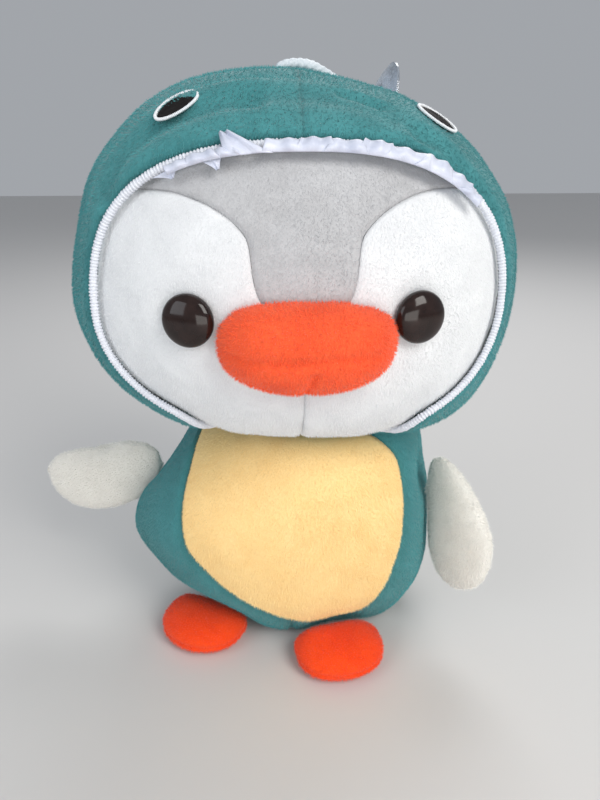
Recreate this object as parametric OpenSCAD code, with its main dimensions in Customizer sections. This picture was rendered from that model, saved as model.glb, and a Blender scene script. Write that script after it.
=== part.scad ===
// A stuffed toy penguin wearing a hood with teeth, sitting on a flat seat.
// Millimetres. The toy faces -Y, +Z is up, and the origin is on the ground
// under the middle of the head. "Left" and "right" are the toy's own sides,
// so its left is +X.

/* [Head] */
// Half width of the stuffed head, side to side
head_a = 83.7; // [80:0.1:86]
// Half depth of the head, front to back
head_b = 72; // [69:0.5:74]
// Rise of the crown above the middle of the head
head_up = 76.3; // [74:0.1:78]
// Drop of the chin below the middle of the head
head_down = 61.7; // [60:0.1:63]
// Squareness of the head's curves, where 2 is an ellipse
head_n = 2.3; // [2.1:0.05:2.5]
// Lean of the head's shape to its left, in degrees
head_lean = 10; // [6:1:12]
// Height of the middle of the head above the ground
head_z = 168.2; // [166:0.1:170]

/* [Face] */
// Half width of the opening in the hood
face_a = 72; // [68:0.5:73]
// Height of the opening above the beak
face_up = 55.3; // [52:0.1:57]
// Height of the opening below the beak
face_down = 47; // [44:0.5:48]
// Height of the middle of the face, behind the beak
face_z = 169; // [168:0.5:170]

/* [Beak and eyes] */
// Half width of the beak
beak_a = 29.5; // [26:0.5:31]
// Height of the beak above its middle
beak_up = 15; // [12:0.5:17]
// Height of the beak below its middle
beak_down = 17; // [14:0.5:18]
// Height of the middle of the beak above the ground
beak_z = 165; // [163:0.5:167]
// How far the beak stands out of the face
beak_out = 16; // [12:0.5:20]
// Distance from the middle of the face to each eye
eye_x = 37.2; // [36:0.1:39]
// Height of the eyes above the ground
eye_z = 172; // [170:0.5:174]
// Radius of each eye's dome
eye_r = 8.8; // [7.5:0.1:9]
// Radius of each embroidered eye on the hood
hood_eye_r = 6.5; // [6:0.5:9]
// Number of teeth along the brow of the hood
teeth = 11; // [7:1:13]
// Length of a tooth
tooth_long = 9; // [6:0.5:11]

/* [Torso] */
// Half width of the torso on its right side
torso_right = 80.4; // [76:0.2:82]
// Half width of the torso on its left side
torso_left = 65.3; // [62:0.1:67]
// Half depth of the torso
torso_b = 55.8; // [53:0.2:57]
// Rise of the shoulders above the widest level
torso_up = 38; // [34:0.2:42]
// Length of the torso below the widest level, before the seat flattens it
torso_down = 99.8; // [96:0.2:102]
// Lean of the torso to its right, in degrees
torso_lean = 24.6; // [20:0.2:26]
// Half width of the belly's panel
belly_a = 50; // [46:0.5:52]
// Height of the belly's panel above the torso's widest level
belly_up = 50; // [46:0.5:56]
// Length of the belly's panel below the torso's widest level
belly_down = 72; // [68:0.5:74]
// Roundness of the belly's panel, where 2 is an ellipse
belly_n = 1.6; // [1.5:0.05:2]
// Lean of the belly's panel to its right, in degrees
belly_lean = -23; // [-26:1:-18]
// Half width of the flat seat
seat_a = 36; // [30:1:40]
// Half depth of the flat seat
seat_b = 24; // [20:1:26]

/* [Wings and feet] */
// Length of a wing
wing_long = 63; // [58:1:66]
// Greatest width of a wing
wing_wide = 37; // [32:1:38]
// Sideways bow of a wing's outline
wing_bow = 4; // [0:0.5:5]
// Greatest thickness of a wing
wing_thick = 12; // [9:0.5:13]
// Half width of a foot
foot_a = 21; // [18:0.5:22]
// Reach of a foot behind its middle, to the seam on the torso
foot_back = 12; // [10:0.5:14]
// Reach of a foot in front of its middle
foot_front = 17.5; // [15:0.5:19]
// Height of a foot
foot_high = 15; // [12:0.5:16]

/* [Fabric and cord] */
// Thickness of the short-pile fabric
skin = 1.8; // [1.5:0.1:2]
// Diameter of the hang cord
cord_d = 3.6; // [3:0.1:4]
// Radius of the clear suction cup
cup_r = 15; // [13:0.5:16]

/* [Hidden] */

gap = 0.5;              // clearance between two skins
fill_gap = 4.4;         // clearance between a skin and the stuffing under it
neck_gap = 0.6;         // clearance of each body from the neck's dish
chin_tuck = 0.2;        // how far the opening runs on under the chin, as a share
hood_in = 1.5;          // the hood's inner face above the head's surface
hood_out = 3.5;         // the hood's outer face above the head's surface
head_mid = [0, 0, head_z];
torso_mid = [-3.3, 6, 80.5];
seat_mid = [6, 7];
neck_mid = [0, 4];      // the neck's turning axis
neck_z = 111;           // lowest level of the neck joint
neck_rise = 0.0018;     // how fast the neck joint rises away from its axis
neck_round = 5;         // softness of the fold where the neck begins
seat_round = 2.5;         // softness of the fold round the seat

left_wing_root = [67.5, -11.5, 84];
left_wing_dir = [0.15, -0.36, -0.92];
left_wing_flat = [0.76, 0.65, 0];
right_wing_root = [-70.5, 16, 77.5];
right_wing_dir = [-0.93, 0.2, -0.27];
right_wing_flat = [0.2, 0.97, -0.1];
left_foot = [18.5, -42];
right_foot = [-46, -21];
left_foot_turn = 10;
right_foot_turn = -27;

// Places where a wing or foot is sewn on and pulls the torso in: point, depth, radius
dents = [[[65, -9, 82], 11, 13], [[66, -8, 57], 4, 22], [[-66, 16, 77], 14, 16],
    [[20, -27, 6], 8, 15], [[-39, -12, 8], 10, 17]];

// The hang cord's route, from the crown through the cup's eye and back
cord_route = [[-5, 10, 250], [-4.2, 10.2, 251.2], [-1.5, 10.8, 252], [2.5, 11.5, 252.2],
    [8, 12.6, 251.4], [12.8, 14.4, 249.8], [17.5, 18, 247.6], [22.3, 23.8, 245.8],
    [25.5, 31, 244.8], [29.7, 38.6, 244.2], [33.9, 41.8, 243.4], [35.5, 46, 242.8],
    [34.1, 50.4, 242.2], [29.9, 53.6, 241.4], [24.4, 53.4, 240.8], [20.4, 48.8, 241.4],
    [18.7, 41.8, 243.6], [17.4, 34.6, 246.4], [14.7, 27.2, 249.6], [10.4, 21.2, 252],
    [4.6, 17, 253], [-1.4, 15.2, 252.6], [-4.2, 14.8, 251.2], [-5, 14.8, 250]];
cup_mid = [42.7, 46.6, 242];
cup_turn = [0, 98, 5];

teal = [0.27, 0.50, 0.50];
grey = [0.70, 0.70, 0.70];
white = [0.88, 0.88, 0.87];
orange = [0.93, 0.31, 0.16];
cream = [0.96, 0.83, 0.58];
dark = [0.16, 0.13, 0.13];
fibre = [0.95, 0.95, 0.93];

// ---- Small sums ----
function unit(v) = v / norm(v);
function mix(p, q, t) = p + (q - p) * t;
function lean(p, deg) = [cos(deg) * p.x + sin(deg) * p.z, p.y, cos(deg) * p.z - sin(deg) * p.x];
function ray(th, ph) = [sin(ph) * sin(th), -cos(ph), sin(ph) * cos(th)];
function gauge(d, a, b, c, n) =
    pow(pow(abs(d.x) / a, n) + pow(abs(d.y) / b, n) + pow(abs(d.z) / c, n), -1 / n);
function oval(th, a, up, down, n_up, n_down) =
    let (c = cos(th) > 0 ? up : down, n = cos(th) > 0 ? n_up : n_down)
    pow(pow(abs(sin(th)) / a, n) + pow(abs(cos(th)) / c, n), -1 / n);

// ---- The neck: both bodies stop at one shallow dish about its axis ----
function dish(p) = neck_z + neck_rise * (pow(p.x - neck_mid.x, 2) + pow(p.y - neck_mid.y, 2));
function more(p, q, k) = (p + q + sqrt(pow(p - q, 2) + k * k)) / 2;   // a rounded max
function above_neck(p, clear) = [p.x, p.y, more(p.z, dish(p) + clear, neck_round)];
function below_neck(p, clear) = [p.x, p.y, -more(-p.z, clear - dish(p), neck_round)];

// ---- Head surface, at a distance off outside the stuffed head ----
function head_ray(d, off) =
    let (u = lean(d, -head_lean), c = u.z > 0 ? head_up : head_down)
    above_neck(head_mid + d * gauge(u, head_a + off, head_b + off, c + off, head_n),
        neck_gap + hood_out - off);
function head_at(th, ph, off) = head_ray(ray(th, ph), off);
function face_y(x, z, off) =
    let (u = lean([x, 0, z - head_z], -head_lean), c = (u.z > 0 ? head_up : head_down) + off)
    -(head_b + off) * pow(max(0.02, 1 - pow(abs(u.x) / (head_a + off), head_n)
        - pow(abs(u.z) / c, head_n)), 1 / head_n);
function face_at(x, z, off) = [x, face_y(x, z, off), z];
function face_normal(x, z) =
    unit(cross(face_at(x + 1, z, 0) - face_at(x - 1, z, 0), face_at(x, z + 1, 0) - face_at(x, z - 1, 0)));

// The hood's opening, and a point on it at a share s of its size
function chin(th) = let (t = min(1, max(0, (abs(th) - 126) / 34))) chin_tuck * t * t * (3 - 2 * t);
function rim_r(th) = oval(th, face_a, face_up, face_down, 2.5, 2)
    * (1 + chin(th > 180 ? 360 - th : th));
function rim_point(th, s, off) =
    above_neck(face_at(s * rim_r(th) * sin(th), face_z + s * rim_r(th) * cos(th), off),
        neck_gap + hood_out - off);
// Direction from the middle of the head to the opening's edge
function rim_ray(th, s) = unit(rim_point(th, s, 0) - head_mid);
function rim_th(th, s) = let (d = rim_ray(th, s)) th == 0 || abs(th) == 180 ? th : atan2(d.x, d.z);
function rim_ph(th, s) = acos(-rim_ray(th, s).y);
function hood_at(th, s, t, off) = head_at(rim_th(th, s), mix(rim_ph(th, s), 180, t), off);

// Half angle of the forehead's panel at a share s of the opening
function brow(s) = 33 + 30 * pow(max(0, 0.55 - s) / 0.35, 1.6) + 21 * pow(max(0, s - 0.55) / 0.45, 1.7);

// ---- Torso surface ----
function torso_plain(d, off) =
    let (u = lean(d, torso_lean), a = u.x > 0 ? torso_left : torso_right,
        c = u.z > 0 ? torso_up : torso_down)
    d * gauge(u, a + off, torso_b + off, c + off, 2);
function pull(p) = [for (k = dents) k[1] * exp(-pow(norm(p - k[0]) / k[2], 2))] * [for (k = dents) 1];
function torso_ray(d, off) =
    let (v = torso_plain(d, off), p = torso_mid + v - d * pull(torso_mid + v),
        q = below_neck(p, neck_gap - off))
    [q.x, q.y, more(q.z, skin + gap - off, seat_round)];

// ---- Belly panel: an egg leaning with the torso, seen from the front ----
function belly_ray(th, s) =
    let (r = s * oval(th - belly_lean, belly_a, belly_up, belly_down, belly_n, belly_n),
        dx = r * sin(th), dz = r * cos(th),
        u = lean([dx, 0, dz], torso_lean), a = u.x > 0 ? torso_left : torso_right,
        c = u.z > 0 ? torso_up : torso_down)
    unit([dx, -torso_b * sqrt(max(0.0004, 1 - pow(u.x / a, 2) - pow(u.z / c, 2))), dz]);

// ---- Solids from grids of points ----
// Triangles between rows i of m points; a triangle with two equal corners is dropped
function same(p, q) = norm(p - q) < 0.0001;
function keep(t, pts) = [for (f = t)
    if (!same(pts[f[0]], pts[f[1]]) && !same(pts[f[1]], pts[f[2]]) && !same(pts[f[2]], pts[f[0]])) f];
function strip(n, m, from, wrap) = [for (i = [0 : n - 2], j = [0 : (wrap ? m - 1 : m - 2)])
    let (a = from + i * m + j, b = from + i * m + (j + 1) % m)
    each [[a, b, b + m], [a, b + m, a + m]]];

// Signed volume, times six, used to turn every solid the right way out
function swept(t, pts) = [for (f = t) pts[f[0]] * cross(pts[f[1]], pts[f[2]])] * [for (f = t) 1];
module solid(pts, t) {
    polyhedron(pts, swept(t, pts) < 0 ? t : [for (f = t) [f[0], f[2], f[1]]]);
}

// A closed ball, bowl or disc: a pole, rings of points, and a pole
module ball(first, rings, last) {
    m = len(rings[0]);
    n = len(rings);
    pts = [first, each [for (r = rings) each r], last];
    end = 1 + n * m;
    faces = concat([for (j = [0 : m - 1]) [0, 1 + (j + 1) % m, 1 + j]], strip(n, m, 1, true),
        [for (j = [0 : m - 1]) [end, end - m + j, end - m + (j + 1) % m]]);
    solid(pts, keep(faces, pts));
}

// A closed ring of rings, such as a tube that meets itself
module hoop(rings) {
    m = len(rings[0]);
    pts = [for (r = rings) each r];
    solid(pts, strip(len(rings), m, 0, true));
}

// A sheet with thickness, between two grids of the same size
module sheet(outer, inner) {
    n = len(outer);
    m = len(outer[0]);
    k = n * m;
    pts = [for (r = concat(outer, inner)) each r];
    back = [for (f = strip(n, m, k, false)) [f[0], f[2], f[1]]];
    sides = [for (i = [0 : n - 2]) each [[i * m, (i + 1) * m, k + i * m],
        [(i + 1) * m, k + (i + 1) * m, k + i * m],
        [i * m + m - 1, k + i * m + m - 1, (i + 1) * m + m - 1],
        [(i + 1) * m + m - 1, k + i * m + m - 1, k + (i + 1) * m + m - 1]]];
    ends = [for (j = [0 : m - 2]) each [[j, k + j, j + 1], [j + 1, k + j, k + j + 1],
        [k - m + j, k - m + j + 1, 2 * k - m + j],
        [k - m + j + 1, 2 * k - m + j + 1, 2 * k - m + j]]];
    solid(pts, keep(concat(strip(n, m, 0, false), back, sides, ends), pts));
}

// ---- Torso ----
function around(n) = [for (i = [0 : n - 1]) i * 360 / n];

module body_stuffing() {
    off = -skin - fill_gap;
    color(fibre)
    ball(torso_ray(ray(0, 0), off),
        [for (ph = [10 : 10 : 170]) [for (th = around(30)) torso_ray(ray(th, ph), off)]],
        torso_ray(ray(0, 180), off));
}

// One half of the back, from the belly's edge round to the middle of the back
module back_half(from, to) {
    cols = [for (i = [0 : 14]) mix(from, to, i / 14)];
    function at(th, t, off) =
        torso_ray(ray(th, mix(acos(-belly_ray(th, 1.015).y), 180, t)), off);
    color(teal)
    sheet([for (k = [0 : 11]) [for (th = cols) at(th, k / 11, 0)]],
        [for (k = [0 : 11]) [for (th = cols) at(th, k / 11, -skin)]]);
}
module back_panel_left() { back_half(180, 0); }
module back_panel_right() { back_half(0, -180); }

module belly_panel() {
    rings = [0.2, 0.4, 0.6, 0.8, 0.92, 1];
    color(cream)
    ball(torso_ray([0, -1, 0], 0),
        [for (s = rings) [for (th = around(28)) torso_ray(belly_ray(th, s), 0)],
         for (s = [1, 0.92, 0.8, 0.6, 0.4, 0.2])
            [for (th = around(28)) torso_ray(belly_ray(th, s), -skin)]],
        torso_ray([0, -1, 0], -skin));
}

module seat_panel() {
    color(teal)
    translate([seat_mid.x, seat_mid.y, 0])
    linear_extrude(skin + gap - 0.1)
    polygon([for (th = around(48)) [seat_a * cos(th), seat_b * sin(th)]]);
}

module care_label() {
    color(white)
    translate([0, 61.6, 34])
    rotate([-14, 0, 0])
    cube([0.8, 12, 16], center = true);
}

// ---- Head ----
module head_stuffing() {
    off = -skin - fill_gap;
    color(fibre)
    ball(head_at(0, 0, off),
        [for (ph = [10 : 10 : 170]) [for (th = around(30)) head_at(th, ph, off)]],
        head_at(0, 180, off));
}

module head_back_panel() {
    steps = [0, 0.08, 0.19, 0.31, 0.44, 0.57, 0.7, 0.83, 0.93];
    function at(th, t, off) = hood_at(th, 1.15, t, off);
    color(grey)
    ball(head_at(0, 180, 0),
        [for (k = [8 : -1 : 0]) [for (th = around(28)) at(th - 180, steps[k], 0)],
         for (k = [0 : 8]) [for (th = around(28)) at(th - 180, steps[k], -skin)]],
        head_at(0, 180, -skin));
}

// A panel of the face between two bounds, each an angle about the beak
module face_panel(from_brow, from, to_brow, to) {
    rows = [0.12, 0.25, 0.4, 0.55, 0.7, 0.85, 0.96, 1.05];
    function at(s, t, off) =
        rim_point(mix(from_brow * brow(s) + from, to_brow * brow(s) + to, t), s, off);
    sheet([for (s = rows) [for (k = [0 : 12]) at(s, k / 12, 0)]],
        [for (s = rows) [for (k = [0 : 12]) at(s, k / 12, -skin)]]);
}
module forehead_panel() { color(grey) face_panel(-1, 0, 1, 0); }
module cheek_panel_left() { color(white) face_panel(1, 0, 0, 180); }
module cheek_panel_right() { color(white) face_panel(0, -180, -1, 0); }

// Half of the hood, from the opening to the middle of its back
module hood_half(from, to) {
    cols = [for (i = [0 : 14]) mix(from, to, i / 14)];
    steps = [0, 0.07, 0.16, 0.27, 0.39, 0.51, 0.63, 0.75, 0.86, 0.95, 1];
    color(teal)
    sheet([for (t = steps) [for (th = cols) hood_at(th, 1.045, t, hood_out)]],
        [for (t = steps) [for (th = cols) hood_at(th, 1.045, t, hood_in)]]);
}
module hood_left() { hood_half(0, 180); }
module hood_right() { hood_half(-180, 0); }

// Ribbed binding round the opening
module hood_binding() {
    color(white)
    hoop([for (i = [0 : 56]) let (th = (i % 56) * 360 / 56)
        [rim_point(th, 0.972, 0.7), rim_point(th, 1.018, 0.6), rim_point(th, 1.02, 3.2),
         rim_point(th, 0.995, 4.2), rim_point(th, 0.972, 3.2)]]);
}

// Flat cloth teeth, turned up over the hood in front
module tooth(th, wide, up) {
    a = hood_at(th - wide, 1.04, 0, hood_out + 0.8);
    b = hood_at(th + wide, 1.04, 0, hood_out + 0.8);
    c = hood_at(th, 1.04, up, hood_out + 1.2);
    n = unit(cross(c - a, b - a));
    solid([a, b, c, a + n * 0.7, b + n * 0.7, c + n * 0.7],
        [[0, 1, 2], [3, 5, 4], [0, 3, 4], [0, 4, 1], [1, 4, 5], [1, 5, 2], [2, 5, 3], [2, 3, 0]]);
}
module hood_teeth() {
    color(white)
    for (i = [0 : teeth - 1])
        tooth(mix(-44, 38, i / (teeth - 1)), 3.4, (0.5 + 0.5 * abs(sin(i * 70))) * tooth_long / 170);
}

// Round embroidered eye on the side of the hood
module hood_eye(toward) {
    mid = unit(toward);
    e = unit(cross(mid, [0, 0, 1]));
    f = cross(mid, e);
    function at(s, th, off) =
        head_ray(unit(mid + s * hood_eye_r / 82 * (e * cos(th) + f * sin(th))), off);
    color(dark)
    ball(head_ray(mid, hood_out + 1.1),
        [for (s = [0.55, 1]) [for (th = around(18)) at(s, th, hood_out + 1)],
         for (s = [1, 0.55]) [for (th = around(18)) at(s, th, hood_out + 0.4)]],
        head_ray(mid, hood_out + 0.4));
}
module hood_eye_left() { hood_eye([47, -31, 62.8]); }
module hood_eye_right() { hood_eye([-39, -40, 66.3]); }

// ---- Beak: a padded bar on the face ----
function beak_r(th) = oval(th, beak_a, beak_up, beak_down, 2.8, 2.3);
function beak_at(th, s, trim, out) =
    let (r = s * (beak_r(th) - trim), x = 0.5 + r * sin(th), z = beak_z + r * cos(th),
        p = face_at(x, z, gap))
    [p.x, p.y - out * pow(max(0, 1 - pow(s, 2.6)), 0.5), p.z];
beak_steps = [0.3, 0.55, 0.75, 0.9, 0.97, 1];
module beak_cover() {
    color(orange)
    ball(beak_at(0, 0, 0, beak_out),
        [for (s = beak_steps) [for (th = around(24)) beak_at(th, s, 0, beak_out)],
         for (k = [5 : -1 : 0])
            [for (th = around(24)) beak_at(th, beak_steps[k], skin, beak_out - skin)]],
        beak_at(0, 0, skin, beak_out - skin));
}
module beak_stuffing() {
    inset = skin + gap;
    color(fibre)
    ball(beak_at(0, 0, inset, beak_out - inset),
        [for (s = [0.3, 0.6, 0.85, 1])
            [for (th = around(20)) beak_at(th, s, inset, beak_out - inset)],
         for (s = [0.6]) [for (th = around(20)) beak_at(th, s, inset, 0.1)]],
        beak_at(0, 0, inset, 0.1));
}

// ---- Safety eyes: a domed cap on a stem, held by a washer inside the face ----
module on_face(side) {
    n = face_normal(side * eye_x, eye_z);
    translate(face_at(side * eye_x, eye_z, gap))
    rotate([0, 0, atan2(n.y, n.x)])
    rotate([0, 90 - asin(n.z), 0])
    children();
}
module eye() {
    color(dark)
    rotate_extrude($fn = 48)
    union() {
        intersection() {
            translate([0, 5 - 11.5]) circle(r = 11.5, $fn = 96);
            translate([0, 0.3]) square([eye_r, 8]);
        }
        translate([0, -9]) square([2.2, 9.6]);
    }
}
module eye_left() { on_face(1) eye(); }
module eye_right() { on_face(-1) eye(); }
module eye_washer() {
    color(white)
    rotate_extrude($fn = 48)
    translate([2.2, -5.5]) square([5, 1.4]);
}
module eye_washer_left() { on_face(1) eye_washer(); }
module eye_washer_right() { on_face(-1) eye_washer(); }

// ---- Wings: two panels and stuffing, flat teardrops narrowing to the shoulder ----
function wing_w(s) = wing_wide / 2 * sqrt(max(0, 1 - pow((s - 0.64) / (s < 0.64 ? 0.66 : 0.372), 2)));
function wing_t(s) = wing_thick / 2 * sqrt(max(0, 1 - pow((s - 0.55) / (s < 0.55 ? 0.6 : 0.46), 2)));
function wing_at(s, turn, trim, root, dir, flat) =
    let (ax = unit(dir), nn = unit(flat - ax * (flat * ax)), side = cross(ax, nn))
    root + ax * (s * wing_long - 3)
        + side * (wing_bow * sin(180 * s) + max(0.6, wing_w(s) - trim) * cos(turn))
        + nn * max(0.6, wing_t(s) - trim) * sin(turn);
wing_rows = [0, 0.1, 0.22, 0.36, 0.5, 0.64, 0.78, 0.88, 0.95, 1];
module wing_panel(from, root, dir, flat) {
    turns = [for (k = [0 : 8]) from + k * 22.5];
    color(white)
    sheet([for (s = wing_rows) [for (t = turns) wing_at(s, t, 0, root, dir, flat)]],
        [for (s = wing_rows) let (q = mix(0.03, 0.965, s))
            [for (t = turns) wing_at(q, t, skin, root, dir, flat)]]);
}
module wing_stuffing(root, dir, flat) {
    inset = skin + gap;
    turns = around(16);
    rows = [0.07, 0.2, 0.35, 0.5, 0.64, 0.78, 0.88, 0.93];
    function at(s, t) = wing_at(s, t, inset, root, dir, flat);
    color(fibre)
    ball((at(0.07, 0) + at(0.07, 180)) / 2, [for (s = rows) [for (t = turns) at(s, t)]],
        (at(0.93, 0) + at(0.93, 180)) / 2);
}
module wing_left_front() { wing_panel(180, left_wing_root, left_wing_dir, left_wing_flat); }
module wing_left_back() { wing_panel(0, left_wing_root, left_wing_dir, left_wing_flat); }
module wing_left_stuffing() { wing_stuffing(left_wing_root, left_wing_dir, left_wing_flat); }
module wing_right_front() { wing_panel(180, right_wing_root, right_wing_dir, right_wing_flat); }
module wing_right_back() { wing_panel(0, right_wing_root, right_wing_dir, right_wing_flat); }
module wing_right_stuffing() { wing_stuffing(right_wing_root, right_wing_dir, right_wing_flat); }

// ---- Feet: flat pads of two panels, rounded in front and straight behind ----
function foot_r(th, trim) =
    oval(th, foot_a - trim, foot_back - trim, foot_front - trim, 4, 2.1);
foot_seam = 5.5;
function foot_at(th, s, high, trim) =
    let (r = s * foot_r(th, trim))
    [r * sin(th), r * cos(th), foot_seam + high * pow(max(0, 1 - pow(s, 3)), 0.6)];
module on_foot(at, turn) {
    translate([at.x, at.y, 0])
    rotate([0, 0, turn])
    children();
}
foot_steps = [0.35, 0.62, 0.82, 0.94, 1];
module foot_shell(high) {
    inner = high > 0 ? high - skin : high + skin;
    color(orange)
    ball(foot_at(0, 0, high, 0),
        [for (s = foot_steps) [for (th = around(24)) foot_at(th, s, high, 0)],
         for (k = [4 : -1 : 0]) [for (th = around(24)) foot_at(th, foot_steps[k], inner, skin)]],
        foot_at(0, 0, inner, skin));
}
module foot_filling() {
    inset = skin + gap;
    up = foot_high - foot_seam - inset;
    down = -foot_seam + inset;
    color(fibre)
    ball(foot_at(0, 0, up, inset),
        [for (s = [0.35, 0.62, 0.85, 0.96]) [for (th = around(20)) foot_at(th, s, up, inset)],
         for (s = [0.85, 0.5]) [for (th = around(20)) foot_at(th, s, down, inset)]],
        foot_at(0, 0, down, inset));
}
module foot_left_top() { on_foot(left_foot, left_foot_turn) foot_shell(foot_high - foot_seam); }
module foot_left_sole() { on_foot(left_foot, left_foot_turn) foot_shell(-foot_seam); }
module foot_left_stuffing() { on_foot(left_foot, left_foot_turn) foot_filling(); }
module foot_right_top() { on_foot(right_foot, right_foot_turn) foot_shell(foot_high - foot_seam); }
module foot_right_sole() { on_foot(right_foot, right_foot_turn) foot_shell(-foot_seam); }
module foot_right_stuffing() { on_foot(right_foot, right_foot_turn) foot_filling(); }

// ---- Hang loop: a cord from the crown through the eye of a clear suction cup ----
function along(i) = unit(cord_route[min(i + 1, len(cord_route) - 1)] - cord_route[max(i - 1, 0)]);
function cord_ring(i) =
    let (t = along(i), e = unit(cross(t, [0.3, -0.8, 0.5])), f = cross(t, e))
    [for (k = around(8)) cord_route[i] + cord_d / 2 * (e * cos(k) + f * sin(k))];
module loop_cord() {
    n = len(cord_route);
    color(white)
    ball(cord_route[0], [for (i = [0 : n - 1]) cord_ring(i)], cord_route[n - 1]);
}
module suction_cup() {
    wall = 1.6;
    color([0.75, 0.80, 0.88, 0.5])
    translate(cup_mid)
    rotate(cup_turn)
    difference() {
        rotate_extrude($fn = 64)
        polygon([[0, -12.4], [4.4, -12.4], [5, -11.8], [5, -11], [4.4, -10.6], [4.4, -4],
            [7.5, -3], [11, -1.2], [cup_r, 1.6], [cup_r, 2.6], [10, 0.6], [6, -1.2], [0, -wall]]);
        translate([0, 0, -7.4])
        rotate([90, 0, 0])
        cylinder(d = cord_d + 2.6, h = 20, center = true, $fn = 32);
    }
}

body_stuffing();
back_panel_left();
back_panel_right();
belly_panel();
seat_panel();
care_label();
head_stuffing();
head_back_panel();
forehead_panel();
cheek_panel_left();
cheek_panel_right();
hood_left();
hood_right();
hood_binding();
hood_teeth();
hood_eye_left();
hood_eye_right();
beak_cover();
beak_stuffing();
eye_left();
eye_right();
eye_washer_left();
eye_washer_right();
wing_left_front();
wing_left_back();
wing_left_stuffing();
wing_right_front();
wing_right_back();
wing_right_stuffing();
foot_left_top();
foot_left_sole();
foot_left_stuffing();
foot_right_top();
foot_right_sole();
foot_right_stuffing();
loop_cord();
suction_cup();
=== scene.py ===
import math
import bpy
import bmesh
import numpy as np
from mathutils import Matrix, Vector, noise


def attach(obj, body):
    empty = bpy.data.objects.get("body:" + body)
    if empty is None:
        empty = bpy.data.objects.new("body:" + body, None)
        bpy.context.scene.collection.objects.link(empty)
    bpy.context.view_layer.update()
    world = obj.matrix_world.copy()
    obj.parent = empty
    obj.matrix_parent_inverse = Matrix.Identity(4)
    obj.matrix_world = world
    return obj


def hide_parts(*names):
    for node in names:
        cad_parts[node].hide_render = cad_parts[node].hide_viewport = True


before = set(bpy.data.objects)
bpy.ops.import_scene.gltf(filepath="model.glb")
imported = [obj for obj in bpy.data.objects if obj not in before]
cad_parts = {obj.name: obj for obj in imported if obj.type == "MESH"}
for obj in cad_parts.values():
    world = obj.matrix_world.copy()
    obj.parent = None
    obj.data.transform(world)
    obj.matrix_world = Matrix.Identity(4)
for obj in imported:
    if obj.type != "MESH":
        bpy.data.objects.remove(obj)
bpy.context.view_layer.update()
mm = 0.001
print("frame loaded:", len(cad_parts), "nodes")

# camera, floor and lights
camera = dict(spot=(-13.5, -261.7, 226), turn=-3.5, down=23, lens=18.6, sensor=24)
studio = dict(floor=(0.62, 0.61, 0.60), floorHalf=2500, sky=(0.86, 0.90, 0.96), skyStrength=0.42,
              key=8.8, fill=2.6, front=2.4, rim=4)
lamps = [  # name, spot, aim and size in metres, colour
    ("key", (0.55, -0.75, 0.85), (0, 0, 0.12), (0.55, 0.7), (1, 0.97, 0.93)),
    ("fill", (-0.8, -0.55, 0.5), (0, 0, 0.12), (0.6, 0.6), (0.9, 0.95, 1)),
    ("front", (0.12, -0.85, 0.12), (0, 0, 0.08), (0.7, 0.35), (1, 0.97, 0.92)),
    ("rim", (0.25, 0.7, 0.8), (0, 0, 0.15), (0.6, 0.4), (1, 1, 1)),
]


def newObject(name, data):
    obj = bpy.data.objects.new(name, data)
    bpy.context.scene.collection.objects.link(obj)
    return obj


def addLamp(name, spot, aim, size, power, colour):
    data = bpy.data.lights.new(name, "AREA")
    data.shape = "RECTANGLE"
    data.size, data.size_y = size
    data.energy = power
    data.color = colour
    lamp = newObject(name, data)
    lamp.location = spot
    lamp.rotation_euler = (Vector(aim) - Vector(spot)).to_track_quat("-Z", "Y").to_euler()


def setUpStudio():
    data = bpy.data.cameras.new("camera")
    data.sensor_fit, data.sensor_height, data.lens = "VERTICAL", camera["sensor"], camera["lens"]
    data.clip_start = 0.01
    cam = newObject("camera", data)
    cam.location = Vector(camera["spot"]) * mm
    cam.rotation_euler = (math.radians(90 - camera["down"]), 0, math.radians(camera["turn"]))
    bpy.context.scene.camera = cam
    bpy.context.scene.view_settings.view_transform = "Standard"
    world = bpy.data.worlds.new("sky")
    world.use_nodes = True
    sky = world.node_tree.nodes["Background"]
    sky.inputs["Color"].default_value = (*studio["sky"], 1)
    sky.inputs["Strength"].default_value = studio["skyStrength"]
    bpy.context.scene.world = world
    for name, spot, aim, size, colour in lamps:
        addLamp(name + "Lamp", spot, aim, size, studio[name], colour)


setUpStudio()

# shapes shared with the frame, in millimetres
head = dict(a=83.7, b=72, up=76.3, down=61.7, n=2.3, lean=10, mid=(0, 0, 168.2))
face = dict(a=72, up=55.3, down=47, z=169, tuck=0.27)
torso = dict(right=80.4, left=65.3, b=55.8, up=38, down=99.8, lean=24.6, mid=(-3.3, 6, 80.5))
belly = dict(a=50, up=50, down=72, n=1.6, lean=-23)
neck = dict(mid=(0, 4), z=111, rise=0.0018, soft=5, gap=0.6)
skin, gap, hoodOut = 1.8, 0.5, 3.5
dents = [((65, -9, 82), 8, 12), ((66, -8, 57), 3, 22), ((-66, 16, 77), 11, 15),
         ((20, -27, 6), 7.5, 15), ((-39, -12, 8), 11, 17.5)]


def sind(deg):
    return np.sin(np.radians(deg))


def cosd(deg):
    return np.cos(np.radians(deg))


def xyz(x, y, z):
    return np.stack(np.broadcast_arrays(np.asarray(x, float), y, z), -1)


def length(v):
    return np.linalg.norm(v, axis=-1)


def unit(v):
    return v / length(v)[..., None]


def mix(p, q, t):
    return p + (q - p) * t


def leaned(p, deg):
    return xyz(cosd(deg) * p[..., 0] + sind(deg) * p[..., 2], p[..., 1],
               cosd(deg) * p[..., 2] - sind(deg) * p[..., 0])


def ray(th, ph):
    return xyz(sind(ph) * sind(th), -cosd(ph), sind(ph) * cosd(th))


def gauge(d, a, b, c, n):
    return (abs(d[..., 0] / a) ** n + abs(d[..., 1] / b) ** n + abs(d[..., 2] / c) ** n) ** (-1 / n)


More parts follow.
